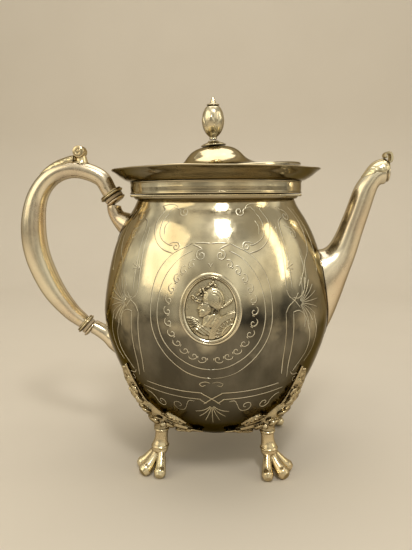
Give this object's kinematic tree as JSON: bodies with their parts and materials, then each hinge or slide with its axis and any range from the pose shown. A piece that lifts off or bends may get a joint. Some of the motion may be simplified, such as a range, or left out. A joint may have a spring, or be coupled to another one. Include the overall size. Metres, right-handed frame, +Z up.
{
  "type": "footed teapot with hinged lid",
  "caption": "Egg-shaped silver-plated teapot on paw feet, with gooseneck spout, hollow loop handle, engraved sides, oval relief medallions and a hinged domed lid with finial.",
  "frame": {"origin": "middle of the object's footprint, on the surface that the feet stand on", "axes": "+X towards the spout, -X towards the handle, -Y the front, +Z up"},
  "size_m": [0.2318, 0.1442, 0.224],
  "materials": {
    "body_silver": "polished silver plate, warm and lightly tarnished, with fine scratches",
    "trim_silver": "polished silver plate mouldings, dark in the crevices",
    "cast_silver": "cast silver-plated ornament, satin, yellow-brown tarnish in the hollows",
    "inner_silver": "dull plate, unpolished",
    "insulation": "off-white handle insulators, satin"
  },
  "bodies": {
    "pot": {"body_shell": "body_silver", "base_disc": "body_silver", "neck_moulding": "trim_silver", "bead_wire": "trim_silver", "neck_collar": "body_silver", "flared_rim": "body_silver", "spout_tube": "body_silver", "spout_leaf": "cast_silver", "handle_tube": "body_silver", "thumb_leaf": "cast_silver", "thumb_scroll": "cast_silver", "upper_ferrule": "trim_silver", "upper_insulator": "insulation", "upper_pin": "trim_silver", "lower_ferrule": "trim_silver", "lower_insulator": "insulation", "lower_pin": "trim_silver", "upper_socket": "trim_silver", "lower_socket": "trim_silver", "paw_foot_front_right": "cast_silver", "foot_mount_front_right": "cast_silver", "paw_foot_front_left": "cast_silver", "foot_mount_front_left": "cast_silver", "paw_foot_back_right": "cast_silver", "foot_mount_back_right": "cast_silver", "paw_foot_back_left": "cast_silver", "foot_mount_back_left": "cast_silver", "medallion_frame_front": "trim_silver", "medallion_relief_front": "cast_silver", "medallion_frame_back": "trim_silver", "medallion_relief_back": "cast_silver", "hinge_body_leaf": "trim_silver", "hinge_pin": "trim_silver"},
    "lid": {"hinge_lid_leaf": "trim_silver", "lid_cover": "body_silver", "lid_bezel": "inner_silver", "finial_base": "trim_silver", "finial_washer": "inner_silver", "finial_nut": "inner_silver", "finial_body": "trim_silver", "finial_tip": "trim_silver"}
  },
  "joints": [
    {"name": "lid_hinge", "type": "hinge", "parent": "pot", "child": "lid", "pos_m": [-0.04417, 0, 0.1779], "axis": [0, -1, 0], "range_deg": [-4.5, 92]}
  ]
}
